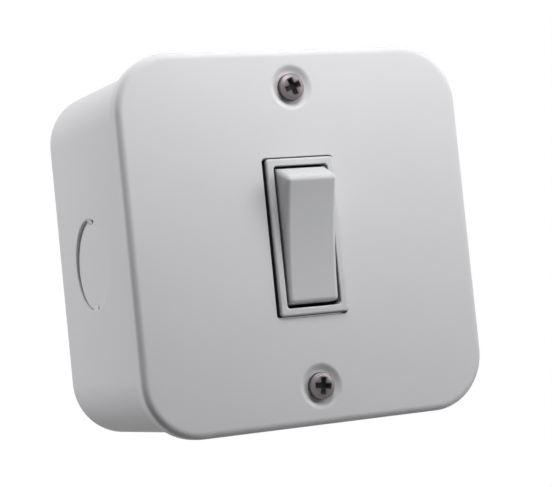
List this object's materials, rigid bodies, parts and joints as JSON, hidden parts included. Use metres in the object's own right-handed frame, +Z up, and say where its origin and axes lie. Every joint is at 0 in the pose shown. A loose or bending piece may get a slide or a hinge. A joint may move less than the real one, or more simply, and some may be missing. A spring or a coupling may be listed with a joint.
{
  "type": "surface-mounted rocker light switch",
  "caption": "Metal-clad surface switch: a powder-coated steel box with knock-outs, an overlapping cover held by screws, and a moulded rocker that tips a sprung contact.",
  "frame": {"origin": "the middle of the flat wall face of the box", "axes": "+Z up, +Y into the wall, so the cover and rocker look along -Y, +X to the right from the front"},
  "size_m": [0.105, 0.0726, 0.105],
  "materials": {
    "powder_coat": "satin powder coat",
    "zinc_steel": "zinc plated",
    "screw_nickel": "nickel plated",
    "white_moulding": "satin moulded",
    "base_moulding": "matt moulded",
    "nylon": "natural nylon",
    "spring_steel": "drawn wire",
    "brass": "bright stamped",
    "silver": "silver alloy"
  },
  "bodies": {
    "housing": {"surface_box": "powder_coat", "cover_plate": "powder_coat", "cover_screws": "screw_nickel", "screw_lug_top": "zinc_steel", "screw_lug_bottom": "zinc_steel", "mounting_yoke": "zinc_steel", "switch_frame": "white_moulding", "fixed_contact": "silver", "line_terminal": "brass", "common_terminal": "brass", "terminal_screws": "brass", "switch_base": "base_moulding", "earth_terminal": "brass", "earth_screws": "brass", "earth_rivet": "brass"},
    "rocker": {"rocker": "white_moulding", "plunger_spring": "spring_steel"},
    "plunger": {"plunger": "nylon"},
    "contact_arm": {"contact_arm": "brass", "moving_contact": "silver"}
  },
  "joints": [
    {"name": "rocker_tilt", "type": "hinge", "parent": "housing", "child": "rocker", "pos_m": [0, -0.0624, 0], "axis": [1, 0, 0], "range_deg": [-21, 0]},
    {"name": "plunger_slide", "type": "slide", "parent": "rocker", "child": "plunger", "axis": [0, 0.9833, 0.1822], "range_m": [-0.0006, 0], "stiffness_N_per_m": 600, "springref_m": 0.002, "deforming": ["plunger_spring"]},
    {"name": "contact_tilt", "type": "hinge", "parent": "housing", "child": "contact_arm", "pos_m": [0, -0.0524, 0], "axis": [1, 0, 0], "range_deg": [0, 16]}
  ],
  "couplings": [
    {"joint": "contact_tilt", "follows": "rocker_tilt", "ratio": -0.762}
  ]
}
